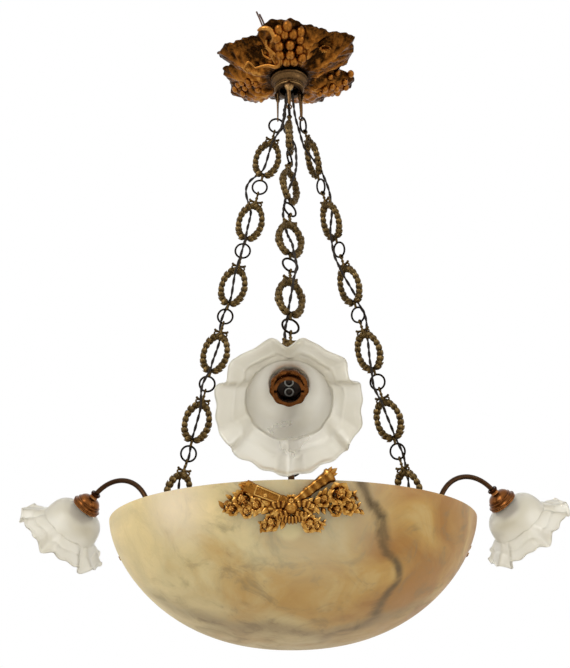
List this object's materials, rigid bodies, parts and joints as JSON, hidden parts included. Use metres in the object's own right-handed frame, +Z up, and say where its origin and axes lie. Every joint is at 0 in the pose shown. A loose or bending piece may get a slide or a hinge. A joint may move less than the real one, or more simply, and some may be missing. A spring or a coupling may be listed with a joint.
{
  "type": "alabaster bowl pendant",
  "caption": "Veined alabaster bowl hung on wreath-link chains from a cast leaf canopy, with gilt rim mounts and swan-neck arms that carry ruffled glass shades.",
  "frame": {"origin": "centre of the ceiling bar's top face, in the ceiling plane and on the pendant's axis", "axes": "+Z up; -Y towards the front arm and the viewer; +X to the viewer's right"},
  "size_m": [0.7178, 0.6401, 0.827],
  "materials": {
    "alabaster": "polished alabaster, honey to grey cream with dark veins",
    "gilt_bronze": "gilt casting with red-brown patina in the recesses",
    "aged_brass": "aged brass, satin",
    "chain_bronze": "dark bronze casting, satin",
    "dark_bronze": "dark bronze tube, satin",
    "copper_bronze": "copper-coloured bronze, bright satin",
    "steel": "plain steel",
    "porcelain": "glazed porcelain",
    "flex_cover": "dark covered twin flex",
    "frosted_glass": "frosted white glass"
  },
  "bodies": {
    "ceiling_fixing": {"canopy": "gilt_bronze", "ceiling_bar": "steel", "hanging_loop": "steel", "suspension_tube": "steel", "crown_nut": "steel", "terminal_block": "porcelain", "supply_wire_a": "flex_cover", "supply_wire_b": "flex_cover"},
    "crown": {"crown_cap": "aged_brass"},
    "bowl_group": {"bowl": "alabaster", "spider": "aged_brass", "bowl_lampholder": "copper_bronze", "front_bracket": "aged_brass", "front_rim_mount": "gilt_bronze", "front_arm": "dark_bronze", "front_lead": "flex_cover", "front_gallery_cup": "copper_bronze", "front_lampholder": "copper_bronze", "front_shade": "frosted_glass", "left_bracket": "aged_brass", "left_rim_mount": "gilt_bronze", "left_arm": "dark_bronze", "left_lead": "flex_cover", "left_gallery_cup": "copper_bronze", "left_lampholder": "copper_bronze", "left_shade": "frosted_glass", "right_bracket": "aged_brass", "right_rim_mount": "gilt_bronze", "right_arm": "dark_bronze", "right_lead": "flex_cover", "right_gallery_cup": "copper_bronze", "right_lampholder": "copper_bronze", "right_shade": "frosted_glass"},
    "front_chain": {"front_top_ring": "chain_bronze", "front_wreath_link_1": "chain_bronze", "front_wreath_link_2": "chain_bronze", "front_wreath_link_3": "chain_bronze", "front_wreath_link_4": "chain_bronze", "front_wreath_link_5": "chain_bronze", "front_wreath_link_6": "chain_bronze", "front_flex": "flex_cover"},
    "left_chain": {"left_top_ring": "chain_bronze", "left_wreath_link_1": "chain_bronze", "left_wreath_link_2": "chain_bronze", "left_wreath_link_3": "chain_bronze", "left_wreath_link_4": "chain_bronze", "left_wreath_link_5": "chain_bronze", "left_wreath_link_6": "chain_bronze", "left_flex": "flex_cover"},
    "right_chain": {"right_top_ring": "chain_bronze", "right_wreath_link_1": "chain_bronze", "right_wreath_link_2": "chain_bronze", "right_wreath_link_3": "chain_bronze", "right_wreath_link_4": "chain_bronze", "right_wreath_link_5": "chain_bronze", "right_wreath_link_6": "chain_bronze", "right_flex": "flex_cover"},
    "front_ring": {"front_shade_ring": "copper_bronze"},
    "left_ring": {"left_shade_ring": "copper_bronze"},
    "right_ring": {"right_shade_ring": "copper_bronze"}
  },
  "joints": [
    {"name": "crown_turn", "type": "hinge", "parent": "ceiling_fixing", "child": "crown", "pos_m": [0, 0, -0.0267], "axis": [0, 0, 1], "range_deg": [-90, 90]},
    {"name": "bowl_sway", "type": "hinge", "parent": "crown", "child": "bowl_group", "pos_m": [0, 0, -0.02163], "axis": [0, 1, 0], "range_deg": [-7, 7]},
    {"name": "front_chain_sway", "type": "hinge", "parent": "crown", "child": "front_chain", "pos_m": [0, -0.0185, -0.084], "axis": [0, 1, 0], "range_deg": [-8, 8]},
    {"name": "left_chain_sway", "type": "hinge", "parent": "crown", "child": "left_chain", "pos_m": [-0.01602, 0.00925, -0.084], "axis": [0, 1, 0], "range_deg": [-8, 8]},
    {"name": "right_chain_sway", "type": "hinge", "parent": "crown", "child": "right_chain", "pos_m": [0.01602, 0.00925, -0.084], "axis": [0, 1, 0], "range_deg": [-8, 8]},
    {"name": "front_ring_turn", "type": "hinge", "parent": "bowl_group", "child": "front_ring", "pos_m": [0, -0.30491, -0.57119], "axis": [0, -0.7314, -0.682], "continuous": true},
    {"name": "left_ring_turn", "type": "hinge", "parent": "bowl_group", "child": "left_ring", "pos_m": [-0.26406, 0.15246, -0.57119], "axis": [-0.6334, 0.3657, -0.682], "continuous": true},
    {"name": "right_ring_turn", "type": "hinge", "parent": "bowl_group", "child": "right_ring", "pos_m": [0.26406, 0.15246, -0.57119], "axis": [0.6334, 0.3657, -0.682], "continuous": true}
  ],
  "couplings": [
    {"joint": "front_chain_sway", "follows": "bowl_sway", "ratio": 1.1137},
    {"joint": "left_chain_sway", "follows": "bowl_sway", "ratio": 1.1137},
    {"joint": "right_chain_sway", "follows": "bowl_sway", "ratio": 1.1137}
  ]
}
